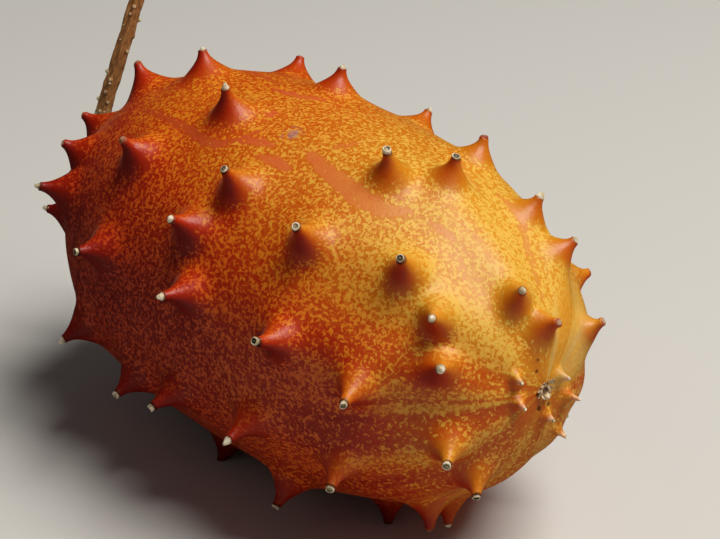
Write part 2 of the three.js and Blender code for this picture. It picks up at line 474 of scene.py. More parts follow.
# Rings of points round one horn, closer together up its flank; reach is the distance from its axis
def hornRings(horn):
    side = np.array([0, -cos(horn["turn"]), -sin(horn["turn"])])
    other = np.cross(horn["flat"], side)
    width = horn["root"] - horn["tip"]
    reaches = [horn["tip"] + width * (1 - climb) ** horns["flare"] for climb in net["hornClimbs"]]
    reaches += [horn["root"] * share for share in net["outerRings"]]
    around = np.arange(net["hornSides"]) * wholeTurn / net["hornSides"]
    ring = np.cos(around)[:, None] * side + np.sin(around)[:, None] * other
    reach = np.repeat([reaches[0] * net["innerRing"], *reaches], net["hornSides"])
    rings = horn["foot"] + np.tile(ring, (len(reaches) + 1, 1)) * reach[:, None]
    return dropToBody(np.vstack([horn["foot"], rings]), horn["flat"]), np.concatenate([[0], reach])


# Moves points along a direction until they lie on the plain body
def dropToBody(points, direction):
    step = 0.001
    slide = np.zeros(len(points))
    for _ in range(net["dropSteps"]):
        moved = points - slide[:, None] * direction
        past = pastBody(moved)
        slope = (pastBody(moved + step * direction) - past) / step
        slide = slide + past / slope
    return points - slide[:, None] * direction


# Above 0 outside the plain body, 0 on it
def pastBody(points):
    share = points[:, 0] / bySide(points[:, 0], "Half")
    radius = points[:, 1] ** 2 + points[:, 2] ** 2
    return radius / body["girth"] ** 2 - 1 + np.abs(share) ** bySide(share, "Fullness")


# How far out each point is on every horn: 0 at its tip's edge, 1 at its root; and the distance from its axis
def hornReach(points, placed):
    feet, flats, tips, roots = [np.array([h[k] for h in placed]) for k in ("foot", "flat", "tip", "root")]
    offset = points[:, None, :] - feet[None]
    rise = np.einsum("phc,hc->ph", offset, flats)
    reach = np.sqrt(np.maximum(np.einsum("phc,phc->ph", offset, offset) - rise ** 2, 0))
    reach = np.where(np.abs(rise) > besideHorn, farAway, reach)
    return (reach - tips) / (roots - tips), reach


# A flat map of the body that keeps its angles: the blossom end is its middle, the stem end its far edge
def flatMap(points):
    _, line, steps = outline(net["mapPoints"], margin=1e-4)
    climb = runningSum(steps / ((line[1:, 2] + line[:-1, 2]) / 2))
    climb -= np.interp(0.0, line[:, 0], climb)
    away = np.exp(-np.interp(points[:, 0], line[:, 0], climb))
    turn = np.arctan2(-points[:, 1], points[:, 2])
    return np.stack([away * np.cos(turn), away * np.sin(turn)], axis=-1)


# The plain body as triangles, fine round every horn, with each point's horn and its distance from that axis
def spinNet(placed):
    share, turn = evenPoints(np.random.default_rng(net["seed"]))
    points = bodyPoint(share, turn, ribbed=False)
    out, reach = hornReach(points, placed)
    cleared = [h["root"] * net["outerRings"][-1] + net["clearance"] * net["spacing"] for h in placed]
    kept = np.all(reach > cleared, axis=1)
    points, nearest = [points[kept]], [np.argmin(out[kept], axis=1)]
    reaches = [np.take_along_axis(reach[kept], nearest[0][:, None], 1)[:, 0]]
    for index, horn in enumerate(placed):
        rings, ringReach = hornRings(horn)
        ringOut, _ = hornReach(rings, placed)
        own = (ringReach - horn["tip"]) / (horn["root"] - horn["tip"])
        mine = own < np.delete(ringOut, index, axis=1).min(axis=1) - net["overlap"]
        points.append(rings[mine])
        nearest.append(np.full(mine.sum(), index))
        reaches.append(ringReach[mine])
    points, nearest, reaches = np.concatenate(points), np.concatenate(nearest), np.concatenate(reaches)
    merged = 1e-7
    made = geometry.delaunay_2d_cdt([Vector(p) for p in flatMap(points)], [], [], 0, merged)
    source = [origin[0] for origin in made[3]]
    faces = np.array([[source[i] for i in face] for face in made[2]])
    stemPole = len(points)
    points = np.vstack([points, [[-body["stemHalf"], 0, 0]]])
    nearest, reaches = np.append(nearest, 0), np.append(reaches, farAway)
    faces = np.vstack([faces, [[b, a, stemPole] for a, b in outerEdges(faces)]])
    first = points[faces]
    normal = np.cross(first[:, 1] - first[:, 0], first[:, 2] - first[:, 0])
    if np.einsum("ij,ij->i", normal, first.mean(axis=1)).sum() < 0:
        faces = faces[:, ::-1]
    return points, faces, nearest, reaches


# Edges that only one face has, in the order in which that face runs along them
def outerEdges(faces):
    seen = {edge: True for face in faces for edge in zip(face, np.roll(face, -1))}
    return [(a, b) for a, b in seen if (b, a) not in seen]


# Smooth streaks without flecks, along the fruit between its rows of horns, in millimetres and degrees
streaks = {
    # stations and turns along each, its width, and a share by which it is plain where that isn't 1
    "routes": [
        ([(14.5, 19), (19.5, 21), (24.4, 22), (29.6, 23), (33.7, 22), (37, 16)], 3.8),
        ([(40.5, 14), (43, 12.5), (45.6, 12)], 2.3, 0.85),
        ([(-33, 27), (-25.5, 28), (-18.3, 29), (-11.9, 30), (-6.5, 31), (-2.7, 30), (-0.1, 26), (1.5, 20)],
         2.4, 0.85),
        ([(-1, 27), (4, 23), (7.6, 22)], 2.0),
        ([(1.1, 21), (-1, 12), (2, 5)], 2.4),
        ([(7, 28), (11, 27), (14.5, 27)], 2.4),
        ([(-10, -1), (-3.1, -3), (1, -8)], 2.0),
        ([(16, 14), (18.4, 8), (20, 1)], 1.9, 0.85),
        ([(38, -23), (45.7, -23), (50.3, -19), (57, -15)], 1.8),
        ([(28, -20), (34.7, -16), (40, -14)], 2.0, 0.8),
        ([(-44, 14), (-39, 22), (-33, 27)], 1.6, 0.7),
        ([(-30, -8), (-20, -9), (-12, -6)], 2.2, 0.8),
    ],
    "step": 0.4,
    "edge": 0.3,    # how sharp their edges are
    "ends": (0.08, 0.92, 0.6),    # how they narrow: first and last share of a half wave, and its power
    # on the sides that the photograph doesn't show: first turn and number of grooves, and where they start
    "farTurns": (126, 6),
    "farStarts": (0.75, 0.95),    # against the stem half, and where they stop against the blossom half
    "farStop": 0.7,
    "farLengths": (9, 24),
    "farGaps": (7, 16),
    "farWidths": (1.5, 3.2),
    "farPlainness": (0.66, 1.0),
    "farBends": (0, 0.35, 0.7, 1),
    "farDrift": 5,
    "seed": 8,
}


# Every streak: its stations and turns, its width and how plain it is
def placeStreaks():
    rng = np.random.default_rng(streaks["seed"])
    made = [(*streak, 1.0)[:3] for streak in streaks["routes"]]
    for k in range(streaks["farTurns"][1]):
        turn = streaks["farTurns"][0] + k * 360 / body["ribCount"]
        station = -body["stemHalf"] * rng.uniform(*streaks["farStarts"])
        while station < body["blossomHalf"] * streaks["farStop"]:
            length = rng.uniform(*streaks["farLengths"])
            route = [
                (station + share * length, turn + streaks["farDrift"] * rng.uniform(-1, 1))
                for share in streaks["farBends"]]
            made.append((route, rng.uniform(*streaks["farWidths"]), rng.uniform(*streaks["farPlainness"])))
            station += length + rng.uniform(*streaks["farGaps"])
    return made


# How far inside a streak each point of the skin is: above 0.5 inside, 0.5 at its edge
def streakShare(points):
    first, last, power = streaks["ends"]
    spots, halves, plainness = [], [], []
    for route, width, plain in placeStreaks():
        stations, turns = np.array(route, float).T
        count = max(3, round(abs(stations[-1] - stations[0]) / streaks["step"]))
        places = np.linspace(0, len(route) - 1, count)
        station = np.interp(places, range(len(route)), stations)
        turn = np.radians(np.interp(places, range(len(route)), turns))
        spots.append(bodyPoint(station / bySide(station, "Half"), turn, ribbed=False))
        wave = np.sin(pi * blend((first, last), np.linspace(0, 1, count)))
        halves.append(width / 2 * wave ** power)
        plainness.append(np.full(count, plain))
    spots, halves, plainness = np.concatenate(spots), np.concatenate(halves), np.concatenate(plainness)
    tree = kdtree.KDTree(len(spots))
    for i, spot in enumerate(spots):
        tree.insert(spot, i)
    tree.balance()
    found = [tree.find(point) for point in points]
    nearest = [i for _, i, _ in found]
    inside = halves[nearest] - np.array([away for _, _, away in found])
    return np.clip(0.5 + inside * streaks["edge"], 0, 1) * plainness[nearest]


def makeSkin(placed, points, finish):
    corners, faces, nearest, reaches = spinNet(placed)
    skin = newObject("fruit_skin", inScene(corners).tolist(), faces.tolist())
    setAttribute(skin, "horn", nearest.astype(np.int32))
    setAttribute(skin, "reach", reaches * mm)
    setAttribute(skin, "bare", streakShare(corners))
    flare, footAt = horns["flare"], horns["footAt"]
    footRise = 1 - footAt ** (1 / flare)
    return grow(
        skin, "Grow horns", growHorns, points=points, finish=finish, footRise=footRise,
        footFall=footAt ** (1 / flare - 1) / flare / footRise, centre=tuple(c * mm for c in body["centre"]),
        blossomHalf=body["blossomHalf"] * mm, swellReach=horns["swellReach"] * mm,
        unevenness=net["unevenness"] * mm, **some(net, "unevenScale", "unevenSeed"),
        **some(body, "ribStart", "ribDepth", "ribCount"),
        **some(horns, "flare", "footAt", "neck", "swellBlur", "sunward"))


# Raises the plain net into ribs, swellings and horns
def growHorns(shape, points, centre, sunward, blossomHalf, ribStart, ribDepth, ribCount, flare, footAt,
              footRise, footFall, neck, swellReach, swellBlur, unevenness, unevenScale, unevenSeed):
    roots, index = shape.shapeOf(points), shape.named("horn", "INT")

    def atHorn(value, kind):
        return shape.add("GeometryNodeSampleIndex", {"data_type": kind, "domain": "POINT"},
                         {"Geometry": roots, "Value": value, "Index": index})

    def hornValue(name, kind="FLOAT"):
        return atHorn(shape.named(name, kind), kind)

    position = shape.place()
    x, y, z = (position - centre).parts()
    turn = shape.maths("ARCTAN2", -y, z)
    gather = ((x / blossomHalf - ribStart) / (1 - ribStart)).clamp()
    rib = 1 + ribDepth * gather * shape.maths("COSINE", turn * ribCount)
    ribbed = shape.vector(x, y * rib, z * rib)

    # how far up its horn a point is: the flare's own curve, with a soft foot that runs out into the skin
    reach, tip = shape.named("reach"), hornValue("tip")
    out = ((reach - tip) / (hornValue("root") - tip)).atLeast(0)
    flank = 1 - out ** (1 / flare)
    foot = footRise * shape.maths("EXPONENT", (footAt - out) * footFall)
    isFoot = shape.maths("GREATER_THAN", out, footAt)
    climb = (flank * (1 - isFoot) + foot * isFoot).atMost(neck)

    # which flank of its horn it is on, for painted light and shade: 1 on the flank painted lit,
    # -1 on the flank painted in shade, 0 past the root
    outwards = shape.vectors("NORMALIZE", position - atHorn(position, "FLOAT_VECTOR"))
    sideways = shape.vectors("DOT_PRODUCT", outwards, sunward).other("Value")
    aside = sideways * out.smooth(1.9, 0.6) * (reach / tip).smooth(0.0, 0.8)

    away = reach / swellReach
    swell = hornValue("swell") * shape.maths("EXPONENT", -(away * away))
    swell = shape.add("GeometryNodeBlurAttribute", {"data_type": "FLOAT"}, {
        0: swell, "Iterations": swellBlur})
    uneven = shape.add("ShaderNodeTexNoise", {"noise_dimensions": "4D"}, {
        "Vector": ribbed, "W": unevenSeed, "Scale": unevenScale, "Detail": 2.0}) - 0.5
    rise = swell * (1 - climb) + uneven * 2 * unevenness
    raised = ribbed + shape.vectors("NORMALIZE", ribbed) * rise
    raised = raised + hornValue("axis", "FLOAT_VECTOR") * (hornValue("height") * climb)
    raised = raised + hornValue("lean", "FLOAT_VECTOR") * (climb * climb) + centre
    stored = {"climb": climb, "aside": aside, "full": hornValue("full"), "kind": hornValue("kind")}
    for name, value in stored.items():
        shape = shape.store(name, value)
    return shape.placed(Position=raised.onFloor())


# Cork tips that end the horns, in millimetres. Each kind's profile is in shares of radius and length, with
# the depth of painted shade, darker at the foot and in the hollow and lighter on top: a hollow ring, a pale
# cap, and one worn down to the skin
cork = {
    "radius": 0.88,    # against the horn's tip radius
    "profiles": {
        "Ring": [
            (0, -0.5, 0), (0.98, -0.5, 1), (1.03, -0.1, 0.8), (1.07, 0.2, 0.55), (1.09, 0.5, 0.2),
            (1.05, 0.8, 0.05), (0.95, 0.98, 0), (0.81, 0.98, 0.1), (0.66, 0.76, 0.9), (0.48, 0.68, 0.75),
            (0.23, 0.74, 0.5), (0, 0.76, 0.42),
        ],
        "Cap": [
            (0, -0.6, 0), (1.02, -0.6, 0.7), (1.12, -0.35, 0.65), (1.1, 0, 0.45), (0.93, 0.45, 0.2),
            (0.74, 0.9, 0.05), (0.56, 1.3, 0), (0.38, 1.56, 0.05), (0.2, 1.62, 0.2), (0, 1.56, 0.3),
        ],
        "Worn": [
            (0, -0.5, 0), (1.14, -0.5, 0.9), (1.16, -0.05, 0.9), (1.1, 0.2, 0.8), (0.96, 0.48, 0.6),
            (0.72, 0.72, 0.3), (0.38, 0.86, 0.1), (0, 0.9, 0.15),
        ],
    },
    "kindShares": (0.4, 0.38, 0.22),
    "radii": (0.9, 1.06),
    "lengths": (0.75, 1.35),
    "ovals": (0.86, 1.04),
    "sides": 14,
    "raggedness": 0.2,
    "ragScale": 900.0,
    "tilt": 0.16,
    "seed": 11,
    "shades": ((0, 0.22, 0.5, 0.8, 1), "ece0c8 c8b692 8c7c5c 463828 1d150e"),
    "wornColour": "a8401c",
}


# Faces between two rings of points that start at first and second; either may be a single point
def ringFaces(first, second, sides, fromPole=False, toPole=False):
    faces = []
    for i in range(sides):
        j = (i + 1) % sides
        if fromPole:
            faces.append((second + j, second + i, first))
        elif toPole:
            faces.append((first + i, first + j, second))
        else:
            faces.append((first + i, first + j, second + j, second + i))
    return faces


# A turned shape round the Z axis from (radius, height, value) steps; the first and last lie on the axis
def turnedShape(name, profile, sides, valueName):
    corners, values, faces, starts = [], [], [], []
    for radius, height, value in profile:
        starts.append(len(corners))
        for i in range(sides if radius else 1):
            angle = wholeTurn * i / sides
            corners.append((radius * cos(angle), radius * sin(angle), height))
            values.append(value)
    for k, (first, second) in enumerate(zip(starts, starts[1:])):
        faces += ringFaces(first, second, sides, k == 0, k == len(starts) - 2)
    made = newObject(name, corners, faces)
    setAttribute(made, valueName, values)
    return made


def remove(*pieces):
    for piece in pieces:
        bpy.data.objects.remove(piece)


def makeTips(points, finish):
    patterns = {
        kind: turnedShape("cork_" + kind, profile, cork["sides"], "pit")
        for kind, profile in cork["profiles"].items()}
    tips = grow(
        newObject("horn_tips", [], []), "Cork tips", growTips, points=points, finish=finish,
        neck=horns["neck"], raggedness=cork["raggedness"] * mm,
        **some(cork, "radius", "ragScale", "tilt", "seed"), **patterns)
    remove(*patterns.values())
    return tips


# Stands a cork tip on the end of every horn, each turned, sized and roughened its own way
def growTips(shape, points, neck, radius, raggedness, ragScale, tilt, seed, **patterns):
    axis, lean = shape.named("axis", "FLOAT_VECTOR"), shape.named("lean", "FLOAT_VECTOR")
    height, tip, kind = [shape.named(name) for name in ("height", "tip", "kind")]
    ends = shape.shapeOf(points).placed(Offset=axis * (height * neck) + lean * (neck * neck))
    rotation = shape.alongVector(axis * height + lean * 2.0)
    spin = shape.randomValue((0.0, wholeTurn), seed)
    tipped = shape.randomValue((-1.0, 1.0), seed + 4) * tilt
    for about, angle in (((0, 0, 1), spin), ((1, 0, 0), tipped)):
        turn = shape.add("FunctionNodeAxisAngleToRotation", None, {"Axis": about, "Angle": angle})
        rotation = shape.add("FunctionNodeRotateRotation", {"rotation_space": "LOCAL"}, {
            0: rotation, 1: turn})
    wide = tip * radius * shape.randomValue(cork["radii"], seed + 1)
    long = height * (1 - neck) * shape.randomValue(cork["lengths"], seed + 2)
    size = shape.vector(wide, wide * shape.randomValue(cork["ovals"], seed + 5), long)
    stood = []
    for number, pattern in enumerate(patterns.values()):
        chosen = shape.maths("COMPARE", kind, float(number), 0.5)
        stood.append(shape.shapeOf(pattern).onPoints(ends, rotation, size, Selection=chosen))
    whim = shape.randomValue((0.0, 1.0), seed + 3)
    real = stood[0].joined(*stood[1:]).store("whim", whim, "INSTANCE").real()
    place = shape.place()
    return real.placed(Position=(place + place.roughness(ragScale, raggedness)).onFloor())


# Stem: its route from the stem pole, and its make, in millimetres
stem = {
    "path": [
        (0, 0, 0), (-5.5, 0, 0.4), (-10.4, 0.1, 2.3), (-12.9, 0.6, 6),
        (-12.6, 2.4, 12.5), (-11.6, 6, 22.9), (-11.4, 11, 35.2), (-11.4, 13.2, 40.5),
    ],
    "pathPoints": 60,    # from one point of the route to the next, before they are spaced evenly
    "step": 0.55,
    "gap": 0.3,    # between the body's pole and the route's start
    "sunk": 1.0,    # how far the root starts inside that
    "rootRadius": 3.3,
    "radii": (1.6, 1.35),    # above the root and at the cut
    "flareLength": 0.07,
    "cut": ((0.93, 0.16), (0.8, 0.2), (0.45, 0.05), (0.2, -0.12)),    # a bevelled edge, then a hollow face
    "angles": 5,
    "angleDepth": 0.12,
    "sides": 40,
    "gnarls": 0.13,
    "gnarlGrains": ((1, 1.2, 19, 7), (0.5, 3.1, 60, 3)),    # share, fineness round and along, and start
    "bumps": 0.08,    # to a square millimetre
    "bumpSize": 0.4,
    "bumpSizes": (0.45, 1.35),
    "bumpProfile": [(0, -0.4, 0), (1.5, -0.25, 0), (1.05, 0.1, 0.2), (0.55, 0.4, 0.7), (0, 0.52, 1)],
    "bumpSides": 8,
    "knobs": [(0.451, -1), (0.566, -1), (0.804, 1)],    # share of the route, and which side of it
    "knobSide": (0.63, 0.77, 0),
    "knobSize": (0.52, 0.52, 1.3),
    "seed": 4,
    "fibres": ((0.28, 0.45, 0.6, 0.78), "66401c 8e5a2a a8743a c89c60"),
    "fibreScale": (3.4, 34.0),    # round and along
    "paleTo": 0.43,    # share of the route where the green root turns brown
    "paleColour": "b9b08a",
    "bumpColour": "dccaa4",
}


# Points evenly along a centripetal Catmull-Rom curve
def smoothPath(points, step):
    points = np.array(points, float)
    ends = np.vstack([2 * points[0] - points[1], points, 2 * points[-1] - points[-2]])
    dense = []
    for i in range(len(points) - 1):
        p = ends[i:i + 4]
        knots = runningSum(np.linalg.norm(np.diff(p, axis=0), axis=1) ** 0.5)

        def between(values, t, span):
            spans = enumerate(zip(knots, knots[span:]))
            return [((high - t) * values[k] + (t - low) * values[k + 1]) / (high - low)
                    for k, (low, high) in spans]

        for t in np.linspace(knots[1], knots[2], stem["pathPoints"], endpoint=False):
            b = between(between(p, t, 1), t, 2)
            dense.append(((knots[2] - t) * b[0] + (t - knots[1]) * b[1]) / (knots[2] - knots[1]))
    dense = np.array([*dense, points[-1]])
    length = runningSum(np.linalg.norm(np.diff(dense, axis=0), axis=1))
    places = np.linspace(0, length[-1], round(length[-1] / step) + 1)
    return np.stack([np.interp(places, length, dense[:, k]) for k in range(3)], axis=-1)


# Two directions across a path at each of its points, carried along it without twisting
def pathFrames(path):
    along = np.gradient(path, axis=0)
    along /= np.linalg.norm(along, axis=1, keepdims=True)
    side = np.cross(along[0], (0, 1, 0))
    frames = []
    for direction in along:
        side = side - direction * (side @ direction)
        side /= np.linalg.norm(side)
        frames.append((side, np.cross(direction, side)))
    return along, frames


# The stem's rings of points as corners, with the way along and round it that its fibres follow
def stemRings(rings):
    corners, grain = [], []
    for centre, (side, other), radius, flare, share in rings:
        for k in range(stem["sides"]):
            angle = wholeTurn * k / stem["sides"]
            c, s = cos(angle), sin(angle)
            gnarl = sum(
                weight * noise.noise(Vector((c * around, s * around, share * along + start)))
                for weight, around, along, start in stem["gnarlGrains"])
            lobes = 1 + stem["angleDepth"] * (1 + flare) * cos(stem["angles"] * angle)
            reach = radius * (lobes + stem["gnarls"] * gnarl)
            corners.append(centre + side * reach * c + other * reach * s)
            grain.append((c, s, min(share, 1.0)))
    return corners, grain


def makeStem(finish):
    path = smoothPath(stem["path"], stem["step"]) + np.array([-body["stemHalf"] - stem["gap"], 0, 0])
    path = np.vstack([path[0] + [stem["sunk"], 0, 0], path])
    along, frames = pathFrames(path)
    shares = [max(0, i - 1) / (len(path) - 2) for i in range(len(path))]
    rings = []
    for centre, across, share in zip(path, frames, shares):
        flare = max(0.0, 1 - share / stem["flareLength"]) ** 2
        radius = blend(stem["radii"], share) + (stem["rootRadius"] - stem["radii"][0]) * flare
        rings.append((centre, across, radius, flare, share))
    for shrink, push in stem["cut"]:
        rings.append((centre + along[-1] * push, across, radius * shrink, 0, 1 + push))
    corners, grain = stemRings(rings)
    sides, last, poles = stem["sides"], len(rings) - 1, len(corners)
    faces = [face for i in range(last) for face in ringFaces(i * sides, (i + 1) * sides, sides)]
    faces += ringFaces(poles, 0, sides, fromPole=True)
    faces += ringFaces(last * sides, poles + 1, sides, toPole=True)
    corners = inScene([*corners, rings[0][0], rings[-1][0]])
    made = newObject("stem_stalk", corners.tolist(), faces)
    setAttribute(made, "grain", [*grain, (0, 0, 0), (0, 0, 1)])
    setAttribute(made, "bump", np.zeros(len(corners)))
    knobs, facing = [], []
    for share, sign in stem["knobs"]:
        spot = min(range(len(path)), key=lambda i: abs((i - 1) / (len(path) - 2) - share))
        side = sign * np.array(stem["knobSide"])
        side = side - along[spot] * (side @ along[spot])
        side /= np.linalg.norm(side)
        knobs.append(path[spot] + side * blend(stem["radii"], share))
        facing.append(side)
    knobs = newObject("knob_points", inScene(knobs).tolist(), [])
    setAttribute(knobs, "axis", facing)
    pattern = turnedShape("bump_pattern", stem["bumpProfile"], stem["bumpSides"], "bump")
    grow(made, "Stem bumps", growBumps, pattern=pattern, knobs=knobs, finish=finish, seed=stem["seed"],
         density=stem["bumps"] / mm ** 2, size=stem["bumpSize"] * mm,
         knobSize=tuple(size * mm for size in stem["knobSize"]))
    remove(pattern, knobs)
    return made


# Sets small bumps over a surface, and a few large knobs at given points
def growBumps(shape, pattern, knobs, seed, density, size, knobSize):
    spread = shape.add("GeometryNodeDistributePointsOnFaces", {"distribute_method": "RANDOM"}, {
        "Mesh": shape, "Density": density, "Seed": seed})
    size = size * shape.randomValue(stem["bumpSizes"], seed + 1)
    bumps = shape.shapeOf(pattern).onPoints(spread, spread.other("Rotation"), size)
    facing = shape.alongVector(shape.named("axis", "FLOAT_VECTOR"))
    return shape.joined(bumps, shape.shapeOf(pattern).onPoints(shape.shapeOf(knobs), facing, knobSize))


# Dried remains of the flower on the blossom end, in millimetres, a little above the body's own axis
scar = {
    "station": 62.8,
    "turn": 7.0,
    "radius": 1.05,
    # the profile's last value is painted shade: darker in the hollow, lighter on the rim
    "profile": [
        (0, -0.5, 0), (1.0, -0.5, 0.5), (1.12, 0.12, 0.4), (1.0, 0.42, 0.1), (0.8, 0.52, 0.1),
        (0.55, 0.38, 0.6), (0.3, 0.3, 0.9), (0.12, 0.34, 0.8), (0, 0.36, 0.8),
    ],
    "sides": 32,
    "flakes": 17,
    "flakeSteps": (4, 3),    # of the mesh along a flake and across it
    "flakeThickness": 0.1,
    "flakeRing": 1.15,
    "flakeRise": 0.15,
    "flakeTurns": (-0.25, 0.25),
    "flakePlaces": (0.25, 1.1),    # against the ring's radius
    "flakeLeans": ((-0.6, 0.6), (-0.7, 1.1)),
    "flakeSizes": (0.5, 1.15),
    "raggedness": 0.34,
    "ragScale": 1.6,
    "seed": 21,
    "shades": ((0, 0.3, 0.55, 0.8, 1), "e0cda8 bf9f74 8f6c48 51311c 28140b"),
}


def scarPlace():
    return bodyPoint(scar["station"] / body["blossomHalf"], radians(scar["turn"]))


# A withered petal: a short curled strip with its root at the origin, leaning outwards along X. Its width, its
# lean and its height follow from the share of its length, and w is -1 and 1 at its sides
def flakePattern():
    steps, across = scar["flakeSteps"]
    row = across + 1
    back = (steps + 1) * row
    corners, values = [], []
    for side in (1, -1):
        for i in range(back):
            share, w = i // row / steps, (i % row / across - 0.5) * 2
            width = 0.5 * sin(pi * (0.25 + 0.62 * share))
            out = 0.15 + 0.75 * share ** 1.6 + 0.12 * w * w
            lift = 0.9 * share - 0.25 * share ** 2
            corners.append((out + side * scar["flakeThickness"] / 2, w * width, lift))
            # painted shade: darker at the petal's root among the others, lighter at its tip
            values.append(0.36 - 0.34 * share)
    starts = [i * row + k for i in range(steps) for k in range(across)]
    front = [(a, a + 1, a + row + 1, a + row) for a in starts]
    faces = front + [tuple(back + corner for corner in reversed(face)) for face in front]
    faces += [(b, back + b, back + a, a) for a, b in outerEdges(front)]
    made = newObject("flake_pattern", corners, faces)
    setAttribute(made, "pit", values)
    return made


def makeScar(finish):
    crust = turnedShape("blossom_crust", scar["profile"], scar["sides"], "pit")
    flake = flakePattern()
    crust.data.transform(Matrix.Diagonal((scar["radius"], scar["radius"], 1, 1)))
    grow(crust, "Blossom scar", growScar, flake=flake, finish=finish,
         **some(scar, "flakes", "flakeRing", "flakeRise", "raggedness", "ragScale", "seed"))
    normal = Vector(bodyNormal(scar["station"] / body["blossomHalf"], radians(scar["turn"])))
    upright = Vector((0, 0, 1)).rotation_difference(normal).to_matrix().to_4x4()
    moved = Matrix.Translation(Vector(scarPlace()) + Vector(body["centre"]))
    crust.data.transform(Matrix.Scale(mm, 4) @ moved @ upright)
    remove(flake)
    return crust


# Ragged crust, with withered petals standing in a ring on it
def growScar(shape, flake, flakes, flakeRing, flakeRise, raggedness, ragScale, seed):
    turn = shape.add("GeometryNodeInputIndex") * wholeTurn / flakes
    turn = turn + shape.randomValue(scar["flakeTurns"], seed)
    away = flakeRing * shape.randomValue(scar["flakePlaces"], seed + 1)
    where = shape.vector(shape.maths("COSINE", turn) * away, shape.maths("SINE", turn) * away, flakeRise)
    ring = shape.add("GeometryNodePoints", None, {"Count": flakes}).placed(Position=where)
    sideways, outwards = scar["flakeLeans"]
    lean = shape.vector(shape.randomValue(sideways, seed + 3), shape.randomValue(outwards, seed + 2), turn)
    stood = shape.shapeOf(flake).onPoints(ring, lean, shape.randomValue(scar["flakeSizes"], seed + 4))
    return shape.joined(stood).real().placed(Offset=shape.place().roughness(ragScale, raggedness))


# A material by a function that gets the place on the objects and returns the shader's inputs
def makeFinish(name, paint):
    material = bpy.data.materials.new(name)
    material.use_nodes = True
    tree = material.node_tree
    tree.nodes.clear()
    shader, end, where = [
        tree.nodes.new("ShaderNode" + kind) for kind in ("BsdfPrincipled", "OutputMaterial", "TexCoord")]
    tree.links.new(shader.outputs[0], end.inputs[0])
    setInputs(shader, paint(Wire(tree, where.outputs["Object"])))
    return material


# Skin colours, from the redder shaded side and stem end to the yellower top of the blossom end; the change by
# height is partly ripening and partly painted shade on the lower side and painted light on the upper side
rind = {
    "ripeningAndShade": (0.68, 0.66, -0.18),    # by station, by height, and where it starts
    "sunTurn": radians(20),    # turn of the side painted ripest and lit, away from the top towards +Y
    "heights": (-0.33, 0.94),    # where the ripening and painted light by height start and end, in body radii
    "leastLift": 0.42,    # of the blossom end, by height
    "strength": 0.87,    # of the ripening in all
    "poleTone": 0.82,    # round the scar
    "poleReach": (11.0, 7.5),    # millimetres from the scar with its tone, and with few flecks
    "tones": (0, 0.22, 0.44, 0.65, 0.87, 1),    # steps of ripeness, at which the next four have their colours
    "ground": "7c1002 921802 b42a02 c45204 cc7a10 d68e1a",
    "flecks": "b03008 c44008 da5e0a de8216 e0a43a e4b246",
    "bare": "8c1a03 9e2605 b03a0a d05a2a d68236 da9040",
    "horns": "780b02 8e1202 a82203 be4004 d07c14 d68820",
    "rays": ((0.3, 0.42, 0.5, 0.57, 0.63, 0.7), "c0640a d08418 d6982c d6a242 d2a856 cca662"),
    # how thickly the flecks lie round the blossom end, by turn in degrees
    "bands": [
        (-180, -0.4), (-166, 0.5), (-152, 0.3), (-146, -0.6), (-130, 0.5), (-118, 0.4), (-110, -0.7),
        (-98, 0.3), (-86, 0.4), (-74, -0.3), (-50, 0.2), (-12, 0.5), (4, 0.3), (14, 0.1), (26, 0.1),
        (32, 0.6), (54, 0.5), (63, -0.5), (76, -0.4), (80, 0.5), (84.5, 0.4), (86.3, -0.9), (88.5, 0.5),
        (92, 0.5), (95, -1.0), (108, -0.9), (113, 0.2), (124, 0.2), (129, -0.7), (148, -0.5), (160, 0.4),
        (180, -0.4),
    ],
    # the dark ring is painted shade under the cork's overhang, and dried skin
    "collar": "2a0c08",    # dark ring under the cork
    "paleTip": "ecc6a0",    # ends of the small horns
    "bruise": "94707e",
    "bruiseAt": (7.4, 15, 2.1),    # station, turn in degrees and size
    "rayReach": (-2.0, 24.0),    # millimetres from the scar, and how much further on the sunned side
    "raySide": radians(-62),    # turn of that side
    "rayFineness": (3.6, 2.0),    # round and along
    "scab": "5c2208",    # dried specks round the scar
    # their turns in degrees about it, distances from it and sizes
    "scabs": [
        (12, 5.5, 0.46), (20, 3.9, 0.34), (43, 5.2, 0.3),
        (107, 1.5, 0.4), (-158, 3.2, 0.5), (162, 3.3, 0.5),
    ],
    "flecking": 1480.0,    # how fine the flecks and the next ones are, to a metre
    "broad": 60.0,
    "patches": 110.0,
    "clusters": 420.0,
    "wisps": 900.0,
    "grain": 1300.0,
    "dents": 1500.0,
    "bandFineness": (16.0, 5.0),    # round and along
    "spread": (-0.12, -0.06),    # how much more than half is flecked, at both ends
    "fleckEdge": (0.435, 0.56),
    "sheen": "ffc8b0",
    "glow": (0.16, (1.0, 0.2, 0.05), 1.4),    # light let through: share, colours and millimetres
}


# A place on the skin by its turn about the scar and its distance from it
def nearScar(turn, distance):
    turn = radians(turn)
    _, y, z = scarPlace() + distance * np.array([0, -sin(turn), cos(turn)])
    share = (1 - (y * y + z * z) / body["girth"] ** 2) ** (1 / body["blossomFullness"])
    return np.array([body["blossomHalf"] * share, y, z])


